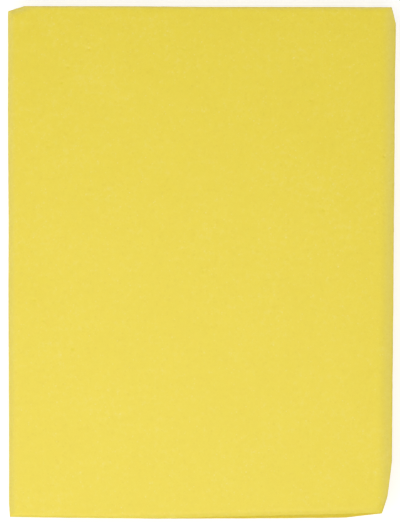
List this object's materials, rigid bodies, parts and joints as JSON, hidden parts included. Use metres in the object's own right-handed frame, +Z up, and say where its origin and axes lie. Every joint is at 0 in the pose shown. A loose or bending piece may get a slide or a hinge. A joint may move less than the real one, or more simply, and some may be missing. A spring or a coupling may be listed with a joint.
{
  "type": "cleaning sponge",
  "caption": "Small rectangular slab of fine-pored yellow sponge with soft edges and nicked corners, for wiping and for cleaning tips at a bench.",
  "frame": {"origin": "middle of the underside, in the middle of the slab's width and length", "axes": "+X across the slab to the right, +Y along it from the front edge to the back edge, +Z up from the underside to the face that the picture shows"},
  "size_m": [0.0606, 0.08, 0.015],
  "materials": {
    "yellow_foam": "matte"
  },
  "bodies": {
    "root": {"sponge": "yellow_foam"}
  },
  "joints": []
}
